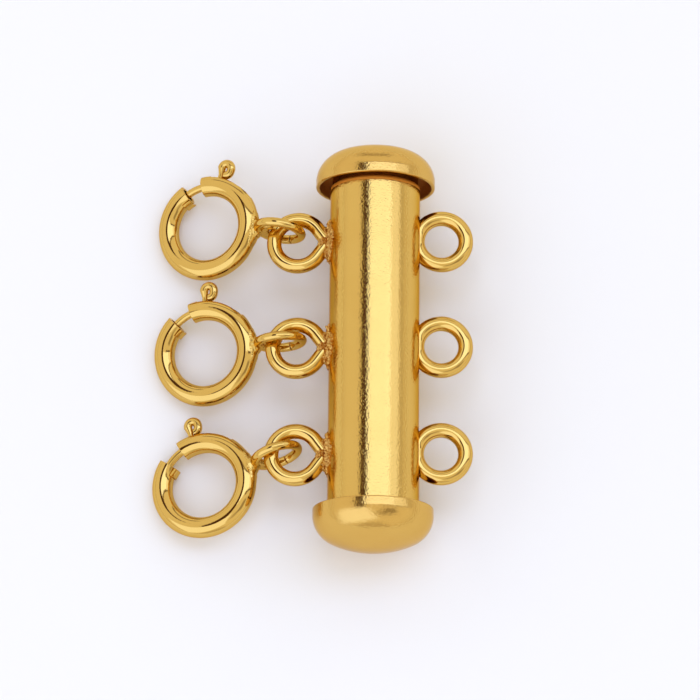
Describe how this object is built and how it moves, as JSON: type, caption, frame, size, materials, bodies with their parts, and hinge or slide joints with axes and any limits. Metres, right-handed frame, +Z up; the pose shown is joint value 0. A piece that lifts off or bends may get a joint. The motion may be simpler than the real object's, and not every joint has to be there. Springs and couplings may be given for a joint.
{
  "type": "three-strand slide-lock tube clasp with bolt rings",
  "caption": "Tube clasp for several strands: a capped inner tube with wire loops slides out of a slotted outer tube, which carries a bolt ring on each of its own loops.",
  "frame": {"origin": "on the surface that the clasp lies on, under the middle of the whole part's box", "axes": "+X across the tube towards the loops of the slider, +Y along the tube towards the slider's cap, +Z up"},
  "size_m": [0.0168, 0.0216, 0.0062],
  "materials": {
    "tube_gold": "gold plate over sterling silver, fine satin polish",
    "cap_gold": "gold plate, soft satin",
    "ring_gold": "gold plate, mirror polish",
    "bolt_gold": "gold plate, mirror polish"
  },
  "bodies": {
    "clasp": {"outer_tube": "tube_gold", "bolt_ring_1": "ring_gold", "bolt_ring_2": "ring_gold", "bolt_ring_3": "ring_gold"},
    "slide": {"slider": "cap_gold"},
    "spring_bolt_1": {"bolt_1": "bolt_gold"},
    "spring_bolt_2": {"bolt_2": "bolt_gold"},
    "spring_bolt_3": {"bolt_3": "bolt_gold"}
  },
  "joints": [
    {"name": "slide_out", "type": "slide", "parent": "clasp", "child": "slide", "axis": [0, 1, 0], "range_m": [0, 0.01968]},
    {"name": "draw_bolt_1", "type": "hinge", "parent": "clasp", "child": "spring_bolt_1", "pos_m": [-0.00562, 0.00703, 0.0014], "axis": [0.3728, 0.0364, -0.9272], "range_deg": [0, 33], "stiffness_Nm_per_rad": 0.0015, "springref_deg": -11.46},
    {"name": "draw_bolt_2", "type": "hinge", "parent": "clasp", "child": "spring_bolt_2", "pos_m": [-0.00563, 0.00018, 0.00125], "axis": [0.295, 0.0839, -0.9518], "range_deg": [0, 33], "stiffness_Nm_per_rad": 0.0015, "springref_deg": -11.46},
    {"name": "draw_bolt_3", "type": "hinge", "parent": "clasp", "child": "spring_bolt_3", "pos_m": [-0.00558, -0.00695, 0.00121], "axis": [0.2861, -0.0472, -0.9571], "range_deg": [0, 33], "stiffness_Nm_per_rad": 0.0015, "springref_deg": -11.46}
  ]
}
